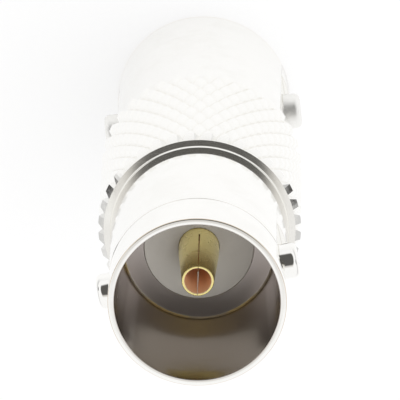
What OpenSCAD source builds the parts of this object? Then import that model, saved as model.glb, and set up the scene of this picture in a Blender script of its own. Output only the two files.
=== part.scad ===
// Straight coaxial coupler with a bayonet jack at each end.
// It stands on its rear mouth: +Z runs up the barrel's axis to the front mouth,
// the origin is the middle of the rear mouth, and the front jack's studs lie along X.

/* [Coupler] */
// Length from mouth to mouth
total_len = 31.8; // [30.5:0.1:34]
// Free length of a jack, from its mouth to the face of the grip
jack_len = 10.9; // [10.6:0.1:11.6]

/* [Jack shell] */
// Diameter of the barrel
barrel_d = 9.7; // [9.6:0.01:9.8]
// Length of the nose, the first stretch behind the mouth
nose_len = 3.05; // [2.8:0.05:3.3]
// Step from the barrel down to the nose
nose_step = 0.02; // [0.01:0.01:0.05]
// Radius of the mouth's outer edge
mouth_round = 0.15; // [0.05:0.01:0.2]
// Chamfer on the mouth's inner edge
mouth_chamfer = 0.04; // [0.02:0.01:0.08]
// Wall of the nose round the straight entry behind the mouth
nose_wall = 0.35; // [0.31:0.01:0.38]
// Depth at which the entry ends and the bore starts to narrow
entry_end = 1.3; // [1:0.1:1.6]
// Wall of the barrel at the bore's floor
barrel_wall = 0.67; // [0.6:0.01:0.75]
// Depth of the bore's flat floor
floor_depth = 8.3; // [8.1:0.05:8.6]
// Radius of the corner between bore and floor
floor_round = 0.15; // [0.1:0.05:0.3]
// Height of the small cone at the barrel's foot, which lies on the face of the grip
foot_len = 0.09; // [0.06:0.01:0.12]
// Width of that cone
foot_w = 0.06; // [0.04:0.01:0.08]
// Thickness of the floor
floor_t = 2.1; // [1.8:0.1:2.2]
// Wall of the tail that is pressed into the grip
tail_wall = 0.7; // [0.5:0.05:0.8]
// Chamfer on the end of the tail
tail_chamfer = 0.2; // [0.1:0.05:0.3]

/* [Bayonet studs] */
// Distance across the two studs
stud_span = 11; // [10.97:0.01:11.07]
// Diameter of a stud
stud_d = 1.95; // [1.91:0.01:2.06]
// Depth of the studs' axis behind the mouth
stud_depth = 3.95; // [3.7:0.05:4.2]
// Chamfer on a stud's end
stud_chamfer = 0.28; // [0.15:0.01:0.35]
// Diameter of the milled flat round a stud
flat_d = 5; // [4.4:0.1:5.2]
// Depth of the milled flat, from the barrel's surface
flat_depth = 0.25; // [0.2:0.01:0.28]
// Turn of the rear jack's studs against the front ones
rear_turn = -3; // [-10:1:10]

/* [Grip] */
// Wall of the grip, from its bore to the top of the knurl
grip_wall = 1.35; // [1.2:0.05:1.6]
// Depth of the knurl
knurl_depth = 0.3; // [0.2:0.02:0.36]
// Teeth round the knurl
knurl_teeth = 36; // [30:1:40]
// Diamonds along the knurl
knurl_rows = 5; // [4:1:6]
// Part of a diamond that its flat top takes up
knurl_land = 0.45; // [0.3:0.05:0.6]
// Length of the bevel on the ends of the teeth
knurl_bevel = 0.35; // [0.2:0.05:0.4]
// Chamfer on the ends of the grip's bore
grip_chamfer = 0.08; // [0.04:0.01:0.12]

/* [Insulators] */
// Diameter of the insulator's face in the floor
insulator_face_d = 6; // [5.6:0.1:6.4]
// Width of the insulator's shoulder behind the floor
insulator_step = 0.5; // [0.4:0.05:0.7]

/* [Centre contact] */
// Diameter of the contact where it leaves the insulator
contact_d = 2.2; // [2.1:0.02:2.4]
// Diameter of the contact at its tip
tip_d = 1.76; // [1.7:0.01:1.8]
// Depth of the contact's tip behind the mouth
tip_depth = 3.2; // [3.1:0.05:3.5]
// Diameter of the socket hole
socket_d = 1.44; // [1.38:0.01:1.5]
// Depth of the socket hole
socket_len = 6; // [5:0.1:6.5]
// Length of the slot between the fingers
slot_len = 4.2; // [3.6:0.1:4.6]
// Width of the slot at its root
slot_root_w = 0.12; // [0.08:0.02:0.2]
// Width of the slot at the tip
slot_tip_w = 0.03; // [0.02:0.01:0.06]
// Turn of the slot about the barrel's axis, from the line of the studs
slot_turn = 78; // [0:1:180]
// Rounding of the tip's outer edge
tip_round = 0.05; // [0.02:0.01:0.07]
// Diameter of the collar at the contact's middle
collar_d = 3.2; // [2.8:0.1:3.6]
// Length of that collar
collar_len = 1.6; // [1.2:0.1:2]

/* [Fits] */
// Radial gap between parts that are pressed together
seat_gap = 0.01; // [0.005:0.005:0.03]
// Gap left at the middle between the two tails and between the two insulators
middle_gap = 0.1; // [0.05:0.05:0.2]

/* [Hidden] */
$fn = 64;
eps = 0.01;
nickel = [0.83, 0.82, 0.79];
grip_nickel = [0.78, 0.77, 0.74];
resin = [0.86, 0.86, 0.84];
gold = [0.8, 0.64, 0.28];

half_len = total_len / 2;
grip_len = total_len - 2 * jack_len;
tail_end = half_len - middle_gap / 2;
shoulder_depth = floor_depth + floor_t;
nose_d = barrel_d - 2 * nose_step;
entry_d = nose_d - 2 * nose_wall;
bore_d = barrel_d - 2 * barrel_wall;
insulator_d = insulator_face_d + 2 * insulator_step;
tail_d = insulator_d + 2 * tail_wall;
grip_d = tail_d + 2 * grip_wall;
stud_sunk = 0.12;                          // the stud starts this far inside the wall
flat_r = barrel_d / 2 - flat_depth;
stud_root = flat_r - stud_sunk;
taper_clear = 1;                           // the contact's taper ends this far in front of the floor
drill_slope = 31;                          // angle of the socket's drilled end
root_d = grip_d - 2 * knurl_depth;
knurl_len = grip_len - 2 * knurl_bevel;

// Point at a depth behind the mouth and a distance from the axis, and an arc of such points
function at(depth, dia) = [dia / 2, -depth];
function arc(cx, cy, r, from, to, steps = 8) =
    [for (i = [0:steps]) let (a = from + (to - from) * i / steps) [cx + r * cos(a), cy + r * sin(a)]];

// Places its children, drawn with the mouth at z = 0 and the barrel below it, at one end
module at_front() { translate([0, 0, total_len]) children(); }
module at_rear() { rotate([180, 0, 0]) children(); }

// ---- jack shell ----

shell_outline = concat(
    arc(nose_d / 2 - mouth_round, -mouth_round, mouth_round, 90, 0),
    [at(nose_len, nose_d), at(nose_len, barrel_d), at(jack_len - foot_len, barrel_d),
     at(jack_len, barrel_d + 2 * foot_w), at(jack_len, tail_d),
     at(tail_end - tail_chamfer, tail_d), at(tail_end, tail_d - 2 * tail_chamfer),
     at(tail_end, insulator_d), at(shoulder_depth, insulator_d), at(shoulder_depth, insulator_face_d),
     at(floor_depth, insulator_face_d)],
    arc(bore_d / 2 - floor_round, -floor_depth + floor_round, floor_round, 270, 360, 4),
    [at(entry_end, entry_d), at(mouth_chamfer, entry_d), at(0, entry_d + 2 * mouth_chamfer)]);

// Places its children on the axis of each of the two studs, with z running outwards
module on_studs() {
    for (side = [0, 180])
        rotate([0, 0, side]) translate([0, 0, -stud_depth]) rotate([0, 90, 0]) children();
}

module stud() {
    stud_end = stud_span / 2;
    translate([0, 0, stud_root]) cylinder(d = stud_d, h = stud_end - stud_chamfer - stud_root);
    translate([0, 0, stud_end - stud_chamfer])
        cylinder(d1 = stud_d, d2 = stud_d - 2 * stud_chamfer, h = stud_chamfer);
}

module jack_shell() {
    difference() {
        rotate_extrude() polygon(shell_outline);
        on_studs() translate([0, 0, flat_r]) cylinder(d = flat_d, h = barrel_d / 2);
    }
    on_studs() stud();
}

module front_shell() { color(nickel) at_front() jack_shell(); }
module rear_shell() { color(nickel) rotate([0, 0, rear_turn]) at_rear() jack_shell(); }

// ---- knurled grip ----

// The knurl is a lattice of diamonds. Going round the grip or along it, a crossing of two
// grooves and the flat top of a diamond take turns, half a pitch apart.
pitch_a = 360 / knurl_teeth;
pitch_z = knurl_len / knurl_rows;
last_row = 2 * knurl_rows;
tooth_corners = 5;                         // a crossing and the four corners of a top
row_points = tooth_corners * knurl_teeth;
LEFT = 0;
RIGHT = 1;
LOWER = 2;
UPPER = 3;

function on_drum(angle, z, dia) = [dia / 2 * cos(angle), dia / 2 * sin(angle), z];
function row_z(row) = knurl_bevel + pitch_z / 2 * row;

// Points of one tooth in a row: tops lie half a pitch after the crossing in even rows
function tooth_points(tooth, row) =
    let (shift = row % 2 == 0 ? 0 : pitch_a / 2,
         groove_a = pitch_a * tooth + shift,
         top_a = groove_a + pitch_a / 2,
         half_a = pitch_a / 2 * knurl_land,
         half_z = pitch_z / 2 * knurl_land,
         z = row_z(row))
    [on_drum(groove_a, z, root_d),
     on_drum(top_a - half_a, z, grip_d),
     on_drum(top_a + half_a, z, grip_d),
     on_drum(top_a, max(z - half_z, row_z(0)), grip_d),
     on_drum(top_a, min(z + half_z, row_z(last_row)), grip_d)];

function crossing(tooth, row) =
    row * row_points + tooth_corners * ((tooth + knurl_teeth) % knurl_teeth);
function corner(tooth, row, side) = crossing(tooth, row) + 1 + side;

// A top and the slopes from it down to the grooves; the first and last rows are half diamonds
function top_faces(tooth, row) =
    let (l = corner(tooth, row, LEFT), r = corner(tooth, row, RIGHT),
         d = corner(tooth, row, LOWER), u = corner(tooth, row, UPPER),
         left = crossing(tooth, row), right = crossing(tooth + 1, row),
         beside = row % 2 == 0 ? tooth : tooth + 1)
    concat([[l, u, d], [u, r, d]],
           row == last_row ? [] : let (over = crossing(beside, row + 1))
               [[l, left, over], [l, over, u], [u, over, right], [u, right, r]],
           row == 0 ? [] : let (under = crossing(beside, row - 1))
               [[l, d, under], [l, under, left], [d, r, right], [d, right, under]]);

// The rim of an end face follows the points of the row next to it
function row_rim(row) =
    [for (tooth = [0:knurl_teeth - 1], k = [0, 1, row == 0 ? 3 : 4, 2]) crossing(tooth, row) + k];
function face_rim(points, row, z) =
    [for (i = row_rim(row)) let (p = points[i]) on_drum(atan2(p[1], p[0]), z, root_d)];

module knurled_drum() {
    lattice = [for (row = [0:last_row], tooth = [0:knurl_teeth - 1]) each tooth_points(tooth, row)];
    rim_count = 4 * knurl_teeth;
    front = len(lattice);
    back = front + rim_count;
    points = concat(lattice, face_rim(lattice, 0, 0), face_rim(lattice, last_row, grip_len));
    bottom_row = row_rim(0);
    top_row = row_rim(last_row);
    bevels = [for (i = [0:rim_count - 1]) let (j = (i + 1) % rim_count)
        each [[bottom_row[i], bottom_row[j], front + j], [bottom_row[i], front + j, front + i],
              [top_row[i], back + i, back + j], [top_row[i], back + j, top_row[j]]]];
    polyhedron(points, concat(
        [for (row = [0:last_row], tooth = [0:knurl_teeth - 1]) each top_faces(tooth, row)],
        bevels,
        [[for (i = [0:rim_count - 1]) front + i], [for (i = [rim_count - 1:-1:0]) back + i]]));
}

module knurled_sleeve() {
    bore = tail_d + 2 * seat_gap;
    color(grip_nickel) translate([0, 0, jack_len]) difference() {
        knurled_drum();
        translate([0, 0, -eps]) cylinder(d = bore, h = grip_len + 2 * eps);
        translate([0, 0, -eps])
            cylinder(d1 = bore + 2 * (grip_chamfer + eps), d2 = bore, h = grip_chamfer + eps);
        translate([0, 0, grip_len - grip_chamfer])
            cylinder(d1 = bore, d2 = bore + 2 * (grip_chamfer + eps), h = grip_chamfer + eps);
    }
}

// ---- insulators ----

insulator_outline = let (bore = contact_d + 2 * seat_gap, pocket = collar_d + 2 * seat_gap)
    [at(floor_depth, bore), at(floor_depth, insulator_face_d - 2 * seat_gap),
     at(shoulder_depth, insulator_face_d - 2 * seat_gap), at(shoulder_depth, insulator_d - 2 * seat_gap),
     at(tail_end, insulator_d - 2 * seat_gap), at(tail_end, pocket),
     at(half_len - collar_len / 2, pocket), at(half_len - collar_len / 2, bore)];

module insulator() { rotate_extrude() polygon(insulator_outline); }
module front_insulator() { color(resin) at_front() insulator(); }
module rear_insulator() { color(resin) at_rear() insulator(); }

// ---- centre contact ----

contact_outline = concat(
    [at(tip_depth, 0)],
    arc(tip_d / 2 - tip_round, -tip_depth - tip_round, tip_round, 90, 0, 3),
    [at(floor_depth - taper_clear, contact_d), at(half_len, contact_d), at(half_len, 0)]);

module socket_cut() {
    drill_point = socket_d / 2 * tan(drill_slope);
    translate([0, 0, -tip_depth - socket_len]) cylinder(d = socket_d, h = socket_len + eps);
    translate([0, 0, -tip_depth - socket_len - drill_point])
        cylinder(d1 = 0, d2 = socket_d, h = drill_point);
    rotate([90, 0, 90 + slot_turn]) linear_extrude(2 * contact_d, center = true)
        polygon([[-slot_tip_w / 2, -tip_depth + eps], [slot_tip_w / 2, -tip_depth + eps],
                 [slot_root_w / 2, -tip_depth - slot_len], [-slot_root_w / 2, -tip_depth - slot_len]]);
}

module contact_half() {
    difference() {
        rotate_extrude() polygon(contact_outline);
        socket_cut();
    }
}

module centre_contact() {
    color(gold) union() {
        at_front() contact_half();
        at_rear() contact_half();
        translate([0, 0, half_len - collar_len / 2]) cylinder(d = collar_d, h = collar_len);
    }
}

front_shell();
rear_shell();
knurled_sleeve();
front_insulator();
rear_insulator();
centre_contact();
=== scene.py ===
import bmesh
import bpy
import math
from mathutils import Matrix, Vector


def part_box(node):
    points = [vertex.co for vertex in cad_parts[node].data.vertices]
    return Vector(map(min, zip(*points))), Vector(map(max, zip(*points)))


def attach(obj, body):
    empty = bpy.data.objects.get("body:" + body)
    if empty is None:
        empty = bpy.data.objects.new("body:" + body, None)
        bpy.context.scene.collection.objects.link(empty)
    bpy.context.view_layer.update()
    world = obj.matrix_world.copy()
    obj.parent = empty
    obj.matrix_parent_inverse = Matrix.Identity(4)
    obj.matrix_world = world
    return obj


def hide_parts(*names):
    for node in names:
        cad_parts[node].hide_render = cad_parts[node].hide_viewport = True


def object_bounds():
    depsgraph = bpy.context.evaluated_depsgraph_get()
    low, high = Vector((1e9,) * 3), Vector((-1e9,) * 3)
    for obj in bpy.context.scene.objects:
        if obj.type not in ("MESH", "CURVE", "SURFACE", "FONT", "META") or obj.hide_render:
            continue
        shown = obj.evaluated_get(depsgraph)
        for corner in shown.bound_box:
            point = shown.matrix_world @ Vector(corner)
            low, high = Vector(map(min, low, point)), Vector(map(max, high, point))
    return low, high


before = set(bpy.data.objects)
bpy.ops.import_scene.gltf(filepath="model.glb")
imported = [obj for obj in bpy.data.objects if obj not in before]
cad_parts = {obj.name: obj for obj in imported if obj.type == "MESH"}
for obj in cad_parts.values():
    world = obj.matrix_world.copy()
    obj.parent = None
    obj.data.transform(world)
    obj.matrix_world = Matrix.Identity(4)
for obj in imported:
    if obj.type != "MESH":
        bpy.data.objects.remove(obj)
cadLow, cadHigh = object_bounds()
mm = 0.001
print("frame loaded")

couplerLength = cadHigh.z / mm
halfLength = couplerLength / 2
sleeveLow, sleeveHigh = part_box("knurled_sleeve")
jackLength = (couplerLength - (sleeveHigh.z - sleeveLow.z) / mm) / 2


# an outline is a closed list of (radius, depth behind the mouth, rounding of that corner), in mm
def turned(outline, steps):
    bm = bmesh.new()
    corners = [bm.verts.new((radius * mm, 0, -depth * mm)) for radius, depth, _ in outline]
    face = bm.faces.new(corners)
    rounds = {}
    for corner, (_, _, rounding) in zip(corners, outline):
        if rounding:
            rounds.setdefault(rounding, []).append(corner)
    for rounding, chosen in rounds.items():
        bmesh.ops.bevel(bm, geom=chosen, offset=rounding * mm, offset_type="OFFSET",
                        affect="VERTICES", segments=4, profile=0.5, material=-1)
    bmesh.ops.delete(bm, geom=bm.faces[:], context="FACES_ONLY")
    bmesh.ops.spin(bm, geom=bm.verts[:] + bm.edges[:], cent=(0, 0, 0), axis=(0, 0, 1),
                   angle=math.tau, steps=steps, use_merge=True)
    bmesh.ops.remove_doubles(bm, verts=bm.verts[:], dist=0.0005 * mm)
    bmesh.ops.recalc_face_normals(bm, faces=bm.faces[:])
    return bm


def newPiece(name, bm):
    mesh = bpy.data.meshes.new(name)
    bm.to_mesh(mesh)
    bm.free()
    piece = bpy.data.objects.new(name, mesh)
    bpy.context.scene.collection.objects.link(piece)
    return piece


def cutAway(piece, cutter):
    cut = piece.modifiers.new("cut", "BOOLEAN")
    cut.operation, cut.solver, cut.object = "DIFFERENCE", "EXACT", cutter
    view = bpy.context.evaluated_depsgraph_get()
    mesh = bpy.data.meshes.new_from_object(piece.evaluated_get(view))
    piece.modifiers.clear()
    piece.data = mesh
    bpy.data.objects.remove(cutter)


def finishPiece(piece, slotName, *nodes, sharp=32):
    piece.data.polygons.foreach_set("use_smooth", [True] * len(piece.data.polygons))
    piece.data.set_sharp_from_angle(angle=math.radians(sharp))
    weighted = piece.modifiers.new("flatFacesStayFlat", "WEIGHTED_NORMAL")
    weighted.keep_sharp = True
    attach(piece, "root")
    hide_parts(*nodes)


# a jack is made with its mouth at z = 0 and its barrel below, then put at one end
atFront = Matrix.Translation((0, 0, couplerLength * mm))
atRear = Matrix.Rotation(math.pi, 4, "X")

shell = dict(
    noseRadius=4.83, noseLength=3.05, stepLength=0.02, barrelRadius=4.85, footWidth=0.06, footLength=0.09,
    entryRadius=4.48, entryEnd=1.3, boreRadius=4.18, floorDepth=8.3, floorThickness=2.1,
    faceHole=3.0, tailRadius=4.2, tailHole=3.5, tailRounding=0.2, middleGap=0.05,
    edge=0.03, rim=0.06, corner=0.15, steps=160,
    studRadius=0.975, studDepth=3.95, studEnd=5.5, studRounding=0.3, studRoot=4.4, studSteps=64,
    flatRadius=2.5, flatHeight=4.6, flatCutter=2, flatSteps=96, rearTurn=-3,
)


def shellOutline(s):
    tailEnd = halfLength - s["middleGap"]
    return [
        (s["noseRadius"], 0, s["rim"]),
        (s["noseRadius"], s["noseLength"], 0),
        (s["barrelRadius"], s["noseLength"] + s["stepLength"], 0),
        (s["barrelRadius"], jackLength - s["footLength"], 0),
        (s["barrelRadius"] + s["footWidth"], jackLength, 0),
        (s["tailRadius"], jackLength, 0),
        (s["tailRadius"], tailEnd, s["tailRounding"]),
        (s["tailHole"], tailEnd, 0),
        (s["tailHole"], s["floorDepth"] + s["floorThickness"], 0),
        (s["faceHole"], s["floorDepth"] + s["floorThickness"], 0),
        (s["faceHole"], s["floorDepth"], s["edge"]),
        (s["boreRadius"], s["floorDepth"], s["corner"]),
        (s["entryRadius"], s["entryEnd"], 0),
        (s["entryRadius"], 0, s["edge"]),
    ]


def studBlank(s):
    length = s["studEnd"] - s["studRoot"]
    outline = [
        (0, 0, 0),
        (s["studRadius"], 0, 0),
        (s["studRadius"], -length, s["studRounding"]),
        (0, -length, 0),
    ]
    return turned(outline, s["studSteps"])


def onStudAxis(s, side, start):
    return (Matrix.Rotation(side, 4, "Z") @ Matrix.Translation((start * mm, 0, -s["studDepth"] * mm))
            @ Matrix.Rotation(math.pi / 2, 4, "Y"))


def makeShell(name, node, place, studWear):
    s = shell
    piece = newPiece(name, turned(shellOutline(s), s["steps"]))
    for side in (0, math.pi):
        cutter = bmesh.new()
        bmesh.ops.create_cone(cutter, cap_ends=True, segments=s["flatSteps"], radius1=s["flatRadius"] * mm,
                              radius2=s["flatRadius"] * mm, depth=s["flatCutter"] * mm,
                              matrix=onStudAxis(s, side, s["flatHeight"] + s["flatCutter"] / 2))
        cutAway(piece, newPiece("flatCutter", cutter))
    bm = bmesh.new()
    bm.from_mesh(piece.data)
    wornStud = bm.faces.layers.float.new("wornStud")
    barrelFaces = len(bm.faces)
    for side in (0, math.pi):
        stud = studBlank(s)
        bmesh.ops.transform(stud, matrix=onStudAxis(s, side, s["studRoot"]), verts=stud.verts[:])
        blank = bpy.data.meshes.new("stud")
        stud.to_mesh(blank)
        stud.free()
        bm.from_mesh(blank)
    for face in bm.faces[:][barrelFaces:]:
        face[wornStud] = studWear
    bmesh.ops.transform(bm, matrix=place, verts=bm.verts[:])
    bm.to_mesh(piece.data)
    bm.free()
    finishPiece(piece, "nickel_shell", node)
    return piece


frontShell = makeShell("frontShell", "front_shell", atFront, 0)
rearPlace = Matrix.Rotation(math.radians(shell["rearTurn"]), 4, "Z") @ atRear
rearShell = makeShell("rearShell", "rear_shell", rearPlace, 1)
print("jack shells turned")

contact = dict(
    radius=1.1, tipRadius=0.88, tipDepth=3.2, taperEnd=7.3, holeRadius=0.72, holeLength=6,
    drillPoint=0.43, collarRadius=1.6, collarHalf=0.8, edge=0.03, tipEdge=0.05, holeEdge=0.04, steps=72,
    slotLength=4.2, slotRoot=0.08, slotTip=0.015, slotTurn=78, slotPastTip=0.2,
)


def contactHalf(c):
    holeEnd = c["tipDepth"] + c["holeLength"]
    return [
        (c["holeRadius"], c["tipDepth"], c["holeEdge"]),
        (c["tipRadius"], c["tipDepth"], c["tipEdge"]),
        (c["radius"], c["taperEnd"], 0),
        (c["radius"], halfLength - c["collarHalf"], 0),
        (c["collarRadius"], halfLength - c["collarHalf"], c["edge"]),
    ], [
        (0, holeEnd + c["drillPoint"], 0),
        (c["holeRadius"], holeEnd, 0),
    ]


# marks the slot's two sides and its root, which get a dark painted shade
def markSlot(piece, across, width):
    corners = piece.data.vertices
    inSlot = piece.data.attributes.get("inSlot") or piece.data.attributes.new("inSlot", "FLOAT", "FACE")
    reach = width * 0.51  # half the width and a little more
    square = 0.95  # how nearly a face looks across or along the slot
    for face in piece.data.polygons:
        between = all(abs(corners[k].co.dot(across)) < reach for k in face.vertices)
        if between and (abs(face.normal.dot(across)) > square or abs(face.normal.z) > square):
            inSlot.data[face.index].value = 1


def makeContact():
    c = contact
    outside, hole = contactHalf(c)
    ends = [(r, couplerLength - d, e) for r, d, e in reversed(outside)]
    endHole = [(r, couplerLength - d, e) for r, d, e in reversed(hole)]
    bm = turned(hole + outside + ends + endHole, c["steps"])
    bmesh.ops.transform(bm, matrix=atFront, verts=bm.verts[:])
    piece = newPiece("centreContact", bm)
    for place in (atFront, atRear):
        slit = bmesh.new()
        bmesh.ops.create_cube(slit, size=1)
        for corner in slit.verts:
            low = corner.co.z < 0
            corner.co.x *= (c["slotRoot"] if low else c["slotTip"]) * mm
            corner.co.y *= 4 * c["radius"] * mm  # well past both sides
            corner.co.z = -(c["tipDepth"] + (c["slotLength"] if low else -c["slotPastTip"])) * mm
        slotPlace = place @ Matrix.Rotation(math.radians(c["slotTurn"] - 90), 4, "Z")
        bmesh.ops.transform(slit, matrix=slotPlace, verts=slit.verts[:])
        cutAway(piece, newPiece("slotCutter", slit))
        markSlot(piece, slotPlace.to_3x3() @ Vector((1, 0, 0)), c["slotRoot"] * mm)
    finishPiece(piece, "gold_contact", "centre_contact")
    return piece


centreContact = makeContact()
print("centre contact turned and slotted")

insulator = dict(
    faceRadius=2.99, shoulderRadius=3.49, holeRadius=1.11, pocketRadius=1.61, edge=0.04, steps=96,
)


def makeInsulator(name, node, place):
    n, s, c = insulator, shell, contact
    shoulder = s["floorDepth"] + s["floorThickness"]
    end, pocket = halfLength - s["middleGap"], halfLength - c["collarHalf"]
    bm = turned([
        (n["holeRadius"], s["floorDepth"], n["edge"]),
        (n["faceRadius"], s["floorDepth"], n["edge"]),
        (n["faceRadius"], shoulder, 0),
        (n["shoulderRadius"], shoulder, 0),
        (n["shoulderRadius"], end, 0),
        (n["pocketRadius"], end, 0),
        (n["pocketRadius"], pocket, 0),
        (n["holeRadius"], pocket, 0),
    ], n["steps"])
    bmesh.ops.transform(bm, matrix=place, verts=bm.verts[:])
    piece = newPiece(name, bm)
    finishPiece(piece, "insulator", node)
    return piece


frontInsulator = makeInsulator("frontInsulator", "front_insulator", atFront)
rearInsulator = makeInsulator("rearInsulator", "rear_insulator", atRear)
print("insulators turned")


def feed(tree, socket, value):
    if isinstance(value, bpy.types.NodeSocket):
        tree.links.new(value, socket)
    elif value is not None:
        socket.default_value = value


def addMath(tree, operation, first, second=None):
    node = tree.nodes.new("ShaderNodeMath")
    node.operation = operation
    feed(tree, node.inputs[0], first)
    feed(tree, node.inputs[1], second)
    return node.outputs["Value"]


def addVector(tree, operation, first, second=None):
    node = tree.nodes.new("ShaderNodeVectorMath")
    node.operation = operation
    feed(tree, node.inputs[0], first)
    feed(tree, node.inputs[1], second)
    return next(socket for socket in node.outputs if socket.enabled)


def addRamp(tree, source, start, end, first=0, last=1):
    node = tree.nodes.new("ShaderNodeMapRange")
    node.interpolation_type = "SMOOTHSTEP"
    for label, value in zip(("Value", "From Min", "From Max", "To Min", "To Max"),
                            (source, start, end, first, last)):
        feed(tree, node.inputs[label], value)
    return node.outputs["Result"]


def addMix(tree, factor, first, last, kind="RGBA"):
    node = tree.nodes.new("ShaderNodeMix")
    node.data_type = kind
    sockets = [socket for socket in node.inputs if socket.enabled]
    for socket, value in zip(sockets, (factor, first, last)):
        feed(tree, socket, (*value, 1) if isinstance(value, tuple) else value)
    return next(socket for socket in node.outputs if socket.enabled)


def addNoise(tree, place, scale, detail=2.0, rough=0.5):
    node = tree.nodes.new("ShaderNodeTexNoise")
    feed(tree, node.inputs["Vector"], place)
    for label, value in (("Scale", scale), ("Detail", detail), ("Roughness", rough)):
        feed(tree, node.inputs[label], value)
    return node.outputs["Fac"]


def newGroup(name, inputs, outputs):
    group = bpy.data.node_groups.new(name, "ShaderNodeTree")
    for label, value in inputs.items():
        socket = group.interface.new_socket(label, in_out="INPUT", socket_type="NodeSocketFloat")
        socket.default_value = value
    for label, kind in outputs.items():
        group.interface.new_socket(label, in_out="OUTPUT", socket_type=kind)
    return group, group.nodes.new("NodeGroupInput").outputs, group.nodes.new("NodeGroupOutput").inputs


# where a point lies: its place in mm, its distance from the barrel's axis and its height
def axisGroup():
    group, _, out = newGroup("fromAxis", {}, {"Place": "NodeSocketVector", "Radius": "NodeSocketFloat",
                                              "Height": "NodeSocketFloat"})
    source = group.nodes.new("ShaderNodeTexCoord")
    place = addVector(group, "MULTIPLY", source.outputs["Object"], (1 / mm, 1 / mm, 1 / mm))
    split = group.nodes.new("ShaderNodeSeparateXYZ")
    group.links.new(place, split.inputs[0])
    squares = [addMath(group, "MULTIPLY", split.outputs[k], split.outputs[k]) for k in "XY"]
    radius = addMath(group, "SQRT", addMath(group, "ADD", *squares))
    group.links.new(place, out["Place"])
    group.links.new(radius, out["Radius"])
    group.links.new(split.outputs["Z"], out["Height"])
    return group


markLook = dict(
    ringShare=0.03, swellScale=0.9,
    scratchTurn=(0.5, 0.3, 0.8), scratchStretch=(0.35, 9, 2.5),
    scratchScale=1.6, scratchFrom=0.66, scratchTo=0.74,
    smudgeScale=0.45, smudgeFrom=0.42, smudgeTo=0.70,
)


# rings left by the lathe, fine scratches and smudges from handling
def marksGroup(axisOf):
    group, given, out = newGroup("surfaceMarks", {"Ring Pitch": 0.2, "Scratches": 0.5, "Smudges": 0.5},
                                 {"Relief": "NodeSocketFloat", "Scratches": "NodeSocketFloat",
                                  "Smudges": "NodeSocketFloat"})
    m = markLook
    axis = group.nodes.new("ShaderNodeGroup")
    axis.node_tree = axisOf
    place = axis.outputs["Place"]
    ringPlace = group.nodes.new("ShaderNodeCombineXYZ")
    for label, source in (("X", "Radius"), ("Y", "Height")):
        counted = addMath(group, "DIVIDE", axis.outputs[source], given["Ring Pitch"])
        group.links.new(counted, ringPlace.inputs[label])
    rings = addNoise(group, ringPlace.outputs["Vector"], 1, detail=1)
    swell = addNoise(group, place, m["swellScale"], detail=1)
    relief = addMath(group, "ADD", addMath(group, "MULTIPLY", rings, m["ringShare"]), swell)
    group.links.new(relief, out["Relief"])
    stretched = group.nodes.new("ShaderNodeMapping")
    stretched.inputs["Rotation"].default_value = m["scratchTurn"]
    stretched.inputs["Scale"].default_value = m["scratchStretch"]
    group.links.new(place, stretched.inputs["Vector"])
    lines = addNoise(group, stretched.outputs["Vector"], m["scratchScale"], detail=1, rough=0.3)
    lines = addRamp(group, lines, m["scratchFrom"], m["scratchTo"])
    group.links.new(addMath(group, "MULTIPLY", lines, given["Scratches"]), out["Scratches"])
    smudge = addNoise(group, place, m["smudgeScale"], detail=4, rough=0.6)
    smudge = addRamp(group, smudge, m["smudgeFrom"], m["smudgeTo"])
    group.links.new(addMath(group, "MULTIPLY", smudge, given["Smudges"]), out["Smudges"])
    return group


edgeLook = dict(samples=4, flatMatch=0.99, edgeMatch=0.85)


# edges that are touched most: where a bevelled normal leaves the true one
def edgeGroup():
    group, given, out = newGroup("edgeWear", {"Width": 0.05, "Amount": 0.5}, {"Wear": "NodeSocketFloat"})
    rounded = group.nodes.new("ShaderNodeBevel")
    rounded.samples = edgeLook["samples"]
    group.links.new(addMath(group, "MULTIPLY", given["Width"], mm), rounded.inputs["Radius"])
    true = group.nodes.new("ShaderNodeNewGeometry")
    match = addVector(group, "DOT_PRODUCT", rounded.outputs["Normal"], true.outputs["Normal"])
    edge = addRamp(group, match, edgeLook["flatMatch"], edgeLook["edgeMatch"])
    group.links.new(addMath(group, "MULTIPLY", edge, given["Amount"]), out["Wear"])
    return group


fromAxis = axisGroup()
surfaceMarks = marksGroup(fromAxis)
edgeWear = edgeGroup()


def addGroup(tree, group, **values):
    node = tree.nodes.new("ShaderNodeGroup")
    node.node_tree = group
    for label, value in values.items():
        feed(tree, node.inputs[label.replace("_", " ")], value)
    return node.outputs


def newMaterial(name, settings, metallic):
    material = bpy.data.materials.new(name)
    material.use_nodes = True
    tree = material.node_tree
    shader = tree.nodes["Principled BSDF"]
    shader.inputs["Metallic"].default_value = metallic
    marks = addGroup(tree, surfaceMarks, Ring_Pitch=settings["ringPitch"], Scratches=settings["scratches"],
                     Smudges=settings["smudges"])
    bump = tree.nodes.new("ShaderNodeBump")
    bump.inputs["Distance"].default_value = settings["relief"] * mm
    tree.links.new(marks["Relief"], bump.inputs["Height"])
    tree.links.new(bump.outputs["Normal"], shader.inputs["Normal"])
    return material, tree, shader, marks


def addRoughness(tree, shader, plain, marks, smudgeRough=0.05, scratchRough=0.10):
    more = addMath(tree, "MULTIPLY", marks["Smudges"], smudgeRough)
    scratch = addMath(tree, "MULTIPLY", marks["Scratches"], scratchRough)
    rough = addMath(tree, "ADD", addMath(tree, "ADD", plain, more), scratch)
    tree.links.new(rough, shader.inputs["Roughness"])


def addAttribute(tree, name):
    node = tree.nodes.new("ShaderNodeAttribute")
    node.attribute_name = name
    return node.outputs["Fac"]


def cosine(degrees):
    return math.cos(math.radians(degrees))


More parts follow.
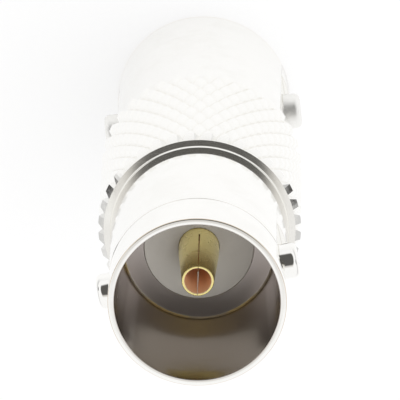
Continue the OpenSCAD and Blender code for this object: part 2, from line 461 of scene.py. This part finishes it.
nickel = dict(
    colour=(0.96, 0.953, 0.93), worn=(0.78, 0.76, 0.70), smudgeTint=0.25,
    # painted shade: the dark colour of the bore wall
    bore=(0.44, 0.385, 0.345), boreEnd=0.005, mouthStart=0.06,
    # painted shade: the darker colour of the bore's floor ring
    floorRingShade=(0.64, 0.585, 0.56), ringStart=0.06, ringEnd=0.01,
    # painted reflection: a tan line round the outer edge of the rim's face
    rimReflection=(0.78, 0.69, 0.57), rimReflectionFrom=0.05, rimReflectionTo=0.02, rimReflectionDepth=0.09,
    # painted highlights: two lighter streaks down the bore wall
    highlightStreak=(0.64, 0.59, 0.56), highlightTurns=(-158, -34), highlightInner=2, highlightOuter=9,
    # painted highlight on the bore's floor corner, with patches of painted reflection of the gold contact
    corner=(0.80, 0.74, 0.66), cornerRise=0.12, cornerFade=0.04, cornerWidth=0.1,
    cornerGoldReflection=(1.0, 0.84, 0.50), goldReflectionScale=0.3, goldReflectionFrom=0.45, goldReflectionTo=0.55,
    roughness=0.06, studRoughness=0.5, boreRoughness=0.15, ringRoughness=0.32, cornerRoughness=0.5,
    ringMetal=0.95, wearWidth=0.08, wear=0.8,
    ringPitch=0.22, scratches=0.5, smudges=0.5, relief=0.005,
)


# the bore's painted shade, with two painted highlight streaks down its wall
def paintedBoreShade(tree, axis):
    n = nickel
    colour = n["bore"]
    for highlightTurn in n["highlightTurns"]:
        towards = Matrix.Rotation(math.radians(highlightTurn), 3, "Z") @ Vector((1, 0, 0))
        across = addVector(tree, "DOT_PRODUCT", axis["Place"], towards)
        aligned = addMath(tree, "DIVIDE", across, axis["Radius"])
        highlightStreak = addRamp(tree, aligned, cosine(n["highlightOuter"]), cosine(n["highlightInner"]))
        # painted highlight streak down the bore wall
        colour = addMix(tree, highlightStreak, colour, n["highlightStreak"])
    return colour


# where the bore's wall rounds into its floor
def cornerMask(tree, axis, fromMouth):
    n, bore = nickel, shell["boreRadius"]
    start = shell["floorDepth"] - n["cornerRise"]
    low = addRamp(tree, fromMouth, start, start + n["cornerFade"])
    wide = addRamp(tree, axis["Radius"], bore - n["cornerRise"], bore - n["cornerWidth"])
    return addMath(tree, "MULTIPLY", low, wide)


def polishedNickel():
    n = nickel
    entry, nose, floorDepth = shell["entryRadius"], shell["noseRadius"], shell["floorDepth"]
    material, tree, shader, marks = newMaterial("polishedNickel", n, 1)
    axis = addGroup(tree, fromAxis)
    fromRear = axis["Height"]
    fromMouth = addMath(tree, "MINIMUM", fromRear, addMath(tree, "SUBTRACT", couplerLength, fromRear))
    outer = addRamp(tree, axis["Radius"], entry + n["boreEnd"], entry + n["mouthStart"])
    wear = addGroup(tree, edgeWear, Width=n["wearWidth"], Amount=n["wear"])["Wear"]
    outside = addMix(tree, wear, n["colour"], n["worn"])
    outside = addMix(tree, addMath(tree, "MULTIPLY", marks["Smudges"], n["smudgeTint"]), outside, n["worn"])
    # painted reflection: a tan line round the outer edge of the rim's face
    edgeOut = addRamp(tree, axis["Radius"], nose - n["rimReflectionFrom"], nose - n["rimReflectionTo"])
    edgeUp = addRamp(tree, fromMouth, n["rimReflectionDepth"], n["rimReflectionDepth"] / 2)
    outside = addMix(tree, addMath(tree, "MULTIPLY", edgeOut, edgeUp), outside, n["rimReflection"])
    # painted shade inside the bore, a little lighter on its floor ring
    deep = addRamp(tree, fromMouth, floorDepth - n["ringStart"], floorDepth - n["ringEnd"])
    inside = addMix(tree, deep, paintedBoreShade(tree, axis), n["floorRingShade"])
    corner = cornerMask(tree, axis, fromMouth)
    goldReflectionNoise = addNoise(tree, axis["Place"], n["goldReflectionScale"], detail=1)
    goldReflectionPatches = addRamp(tree, goldReflectionNoise, n["goldReflectionFrom"], n["goldReflectionTo"])  # painted reflection of the gold contact, in patches, in the corner only
    # painted highlight and painted gold reflection where the bore wall meets its floor
    inside = addMix(tree, corner, inside, addMix(tree, goldReflectionPatches, n["corner"], n["cornerGoldReflection"]))
    tree.links.new(addMix(tree, outer, inside, outside), shader.inputs["Base Color"])
    insideRoughness = addRamp(tree, deep, 0, 1, n["boreRoughness"], n["ringRoughness"])
    insideRoughness = addRamp(tree, corner, 0, 1, insideRoughness, n["cornerRoughness"])
    outsideRoughness = addRamp(tree, addAttribute(tree, "wornStud"), 0, 1, n["roughness"], n["studRoughness"])
    addRoughness(tree, shader, addRamp(tree, outer, 0, 1, insideRoughness, outsideRoughness), marks)
    dull = addMath(tree, "MULTIPLY", deep, addMath(tree, "SUBTRACT", 1, outer))
    tree.links.new(addRamp(tree, dull, 0, 1, 1, n["ringMetal"]), shader.inputs["Metallic"])
    return material


gripNickel = dict(
    # painted shade: the knurl's grooves are a little darker
    colour=(0.96, 0.953, 0.93), worn=(0.97, 0.965, 0.95), grooveShade=(0.94, 0.93, 0.90),
    grooveRadius=5.26, topRadius=5.5, roughness=0.11, grooveRoughness=0.17, wearWidth=0.05, wear=0.7,
    ringPitch=0.3, scratches=0.6, smudges=0.6, relief=0.006,
)


def knurledNickel():
    n = gripNickel
    material, tree, shader, marks = newMaterial("knurledNickel", n, 1)
    axis = addGroup(tree, fromAxis)
    top = addRamp(tree, axis["Radius"], n["grooveRadius"], n["topRadius"])
    wear = addGroup(tree, edgeWear, Width=n["wearWidth"], Amount=n["wear"])["Wear"]
    raised = addMix(tree, addMath(tree, "MULTIPLY", wear, top), n["colour"], n["worn"])
    # slight painted shade in the grooves
    tree.links.new(addMix(tree, top, n["grooveShade"], raised), shader.inputs["Base Color"])
    addRoughness(tree, shader, addRamp(tree, top, 0, 1, n["grooveRoughness"], n["roughness"]), marks)
    return material


gold = dict(
    # painted shade: the dark brown of the slot's sides and root
    colour=(1.0, 0.87, 0.38), worn=(1.0, 0.80, 0.30), hole=(0.92, 0.62, 0.39), slotShade=(0.28, 0.17, 0.08),
    holeEnd=0.005, tipStart=0.05, metal=1.0, holeMetal=0.25, roughness=0.26, holeRoughness=0.55,
    wearWidth=0.06, wear=0.8,
    ringPitch=0.16, scratches=0.5, smudges=0.4, relief=0.0005,
)


def contactGold():
    n = gold
    material, tree, shader, marks = newMaterial("contactGold", n, 1)
    axis = addGroup(tree, fromAxis)
    hole = contact["holeRadius"]
    outer = addRamp(tree, axis["Radius"], hole + n["holeEnd"], hole + n["tipStart"])
    wear = addGroup(tree, edgeWear, Width=n["wearWidth"], Amount=n["wear"])["Wear"]
    outside = addMix(tree, wear, n["colour"], n["worn"])
    plated = addMix(tree, outer, n["hole"], outside)
    # painted shade in the slot
    colour = addMix(tree, addAttribute(tree, "inSlot"), plated, n["slotShade"])
    tree.links.new(colour, shader.inputs["Base Color"])
    addRoughness(tree, shader, addRamp(tree, outer, 0, 1, n["holeRoughness"], n["roughness"]), marks)
    tree.links.new(addRamp(tree, outer, 0, 1, n["holeMetal"], n["metal"]), shader.inputs["Metallic"])
    return material


resin = dict(
    colour=(0.83, 0.80, 0.74), cloud=(0.76, 0.73, 0.67), mirrored=(1.0, 0.98, 0.92),
    roughness=0.42, smudgeRough=0.12, scratchRough=0.15,
    ringPitch=0.35, scratches=0.3, smudges=0.8, relief=0.004,
)


# the resin looks paler where the metal mirrors it
def paleResin():
    n = resin
    material, tree, shader, marks = newMaterial("paleResin", n, 0)
    path = tree.nodes.new("ShaderNodeLightPath")
    clouded = addMix(tree, marks["Smudges"], n["colour"], n["cloud"])
    colour = addMix(tree, path.outputs["Is Glossy Ray"], clouded, n["mirrored"])
    tree.links.new(colour, shader.inputs["Base Color"])
    addRoughness(tree, shader, n["roughness"], marks, n["smudgeRough"], n["scratchRough"])
    return material


nickelFinish = polishedNickel()
gripFinish = knurledNickel()
goldFinish = contactGold()
resinFinish = paleResin()
finishes = {
    frontShell: nickelFinish,
    rearShell: nickelFinish,
    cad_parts["knurled_sleeve"]: gripFinish,
    frontInsulator: resinFinish,
    rearInsulator: resinFinish,
    centreContact: goldFinish,
}
for piece, material in finishes.items():
    piece.data.materials.clear()
    piece.data.materials.append(material)
print("materials ready")

viewCamera = dict(
    turn=12.1, rise=69.1, roll=1.9, distance=0.633, lens=1034.5, aimHeight=0.01632, aimSide=-0.00003,
    nearest=0.01, farthest=20,
)

turn, rise, roll = (math.radians(viewCamera[k]) for k in ("turn", "rise", "roll"))


def direction(turnAngle, riseAngle):
    return Vector((math.sin(turnAngle) * math.cos(riseAngle), math.cos(turnAngle) * math.cos(riseAngle),
                   math.sin(riseAngle)))


back = direction(turn, rise)
right = Vector((math.cos(turn), -math.sin(turn), 0))
up = back.cross(right)
tilt = Matrix.Rotation(roll, 3, back)
right, up = tilt @ right, tilt @ up

cameraData = bpy.data.cameras.new("camera")
cameraData.lens = viewCamera["lens"]
cameraData.clip_start, cameraData.clip_end = viewCamera["nearest"], viewCamera["farthest"]
camera = bpy.data.objects.new("camera", cameraData)
bpy.context.scene.collection.objects.link(camera)
camera.matrix_world = Matrix.Translation(
    Vector((0, 0, viewCamera["aimHeight"])) + right * viewCamera["aimSide"] + back * viewCamera["distance"]
) @ Matrix((right, up, back)).transposed().to_4x4()
bpy.context.scene.camera = camera


floorLook = dict(
    size=0.6, colour=0.32, roughness=0.95, shine=0.1,
    glow=0.7, nearEdge=0.03, farEdge=0.1, sideGlow=0.4, endGlow=0.95,
)


# a pale floor that glows to the viewer; when mirrored it darkens farther out, mostly at the two sides
def paleFloor():
    bm = bmesh.new()
    bmesh.ops.create_grid(bm, x_segments=1, y_segments=1, size=floorLook["size"] / 2)
    floor = newPiece("floor", bm)
    material = bpy.data.materials.new("paleFloor")
    material.use_nodes = True
    tree = material.node_tree
    shader = tree.nodes["Principled BSDF"]
    shader.inputs["Base Color"].default_value = (floorLook["colour"],) * 3 + (1,)
    shader.inputs["Roughness"].default_value = floorLook["roughness"]
    shader.inputs["Specular IOR Level"].default_value = floorLook["shine"]
    shader.inputs["Emission Color"].default_value = (1, 1, 1, 1)
    path = tree.nodes.new("ShaderNodeLightPath")
    place = tree.nodes.new("ShaderNodeTexCoord").outputs["Object"]
    along = addVector(tree, "DOT_PRODUCT", addVector(tree, "NORMALIZE", place), direction(turn, 0))
    square = addMath(tree, "MULTIPLY", along, along)
    farGlow = addRamp(tree, square, 0, 1, floorLook["sideGlow"], floorLook["endGlow"])
    away = addVector(tree, "LENGTH", place)
    fade = addRamp(tree, away, floorLook["nearEdge"], floorLook["farEdge"], 1, farGlow)
    mirrored = addMath(tree, "MULTIPLY", path.outputs["Is Glossy Ray"], fade)
    seen = addMath(tree, "MAXIMUM", path.outputs["Is Camera Ray"], mirrored)
    tree.links.new(addMath(tree, "MULTIPLY", seen, floorLook["glow"]), shader.inputs["Emission Strength"])
    floor.data.materials.append(material)
    return floor


paleFloor()


tentLook = dict(
    daylight=0.75, opening=(0.103, 0.1, 0.094), openingRise=60, openingInner=33, openingOuter=44.5,
    hem=(0.74, 0.72, 0.69), hemRise=75, hemInner=31, hemOuter=39,
    gap=(0.07, 0.067, 0.063), gapTurn=86, gapRise=-0.5, gapInner=7, gapOuter=11,
)


# a white tent with an opening towards the viewer and a gap at each side, which the metal mirrors
def lightTent():
    world = bpy.data.worlds.new("lightTent")
    world.use_nodes = True
    tree = world.node_tree
    place = tree.nodes.new("ShaderNodeTexCoord")

    def patch(towards, inner, outer, colour, under):
        match = addVector(tree, "DOT_PRODUCT", place.outputs["Generated"], towards)
        mask = addRamp(tree, match, cosine(outer), cosine(inner))
        return addMix(tree, mask, under, colour)

    hem = direction(turn, math.radians(tentLook["hemRise"]))
    opening = direction(turn, math.radians(tentLook["openingRise"]))
    tent = patch(hem, tentLook["hemInner"], tentLook["hemOuter"], tentLook["hem"], (1.0, 1.0, 1.0))
    tent = patch(opening, tentLook["openingInner"], tentLook["openingOuter"], tentLook["opening"], tent)
    gapTurn, gapRise = (math.radians(tentLook[k]) for k in ("gapTurn", "gapRise"))
    for side in (-1, 1):
        towards = direction(turn + side * gapTurn, gapRise)
        tent = patch(towards, tentLook["gapInner"], tentLook["gapOuter"], tentLook["gap"], tent)
    path = tree.nodes.new("ShaderNodeLightPath")
    mirrored = addMath(tree, "MAXIMUM", path.outputs["Is Glossy Ray"], path.outputs["Is Transmission Ray"])
    plain = addMix(tree, path.outputs["Is Camera Ray"], (tentLook["daylight"],) * 3, (1.0, 1.0, 1.0))
    tree.links.new(addMix(tree, mirrored, plain, tent), tree.nodes["Background"].inputs["Color"])
    return world


lampLook = dict(size=0.42, distance=0.5, power=0.95, turn=80, rise=70)


# a soft lamp over one shoulder, which lights the resin but isn't mirrored
def softLamp():
    data = bpy.data.lights.new("softLamp", "AREA")
    data.shape = "DISK"
    data.size = lampLook["size"]
    data.energy = lampLook["power"]
    lamp = bpy.data.objects.new("softLamp", data)
    lamp.visible_glossy = False
    towards = direction(turn + math.radians(lampLook["turn"]), math.radians(lampLook["rise"]))
    aim = Vector((0, 0, couplerLength / 2 * mm))
    lamp.matrix_world = Matrix.Translation(aim + towards * lampLook["distance"]) @ towards.to_track_quat(
        "Z", "Y").to_matrix().to_4x4()
    bpy.context.scene.collection.objects.link(lamp)


bpy.context.scene.world = lightTent()
softLamp()
bpy.context.scene.view_settings.view_transform = "Standard"
print("studio ready")
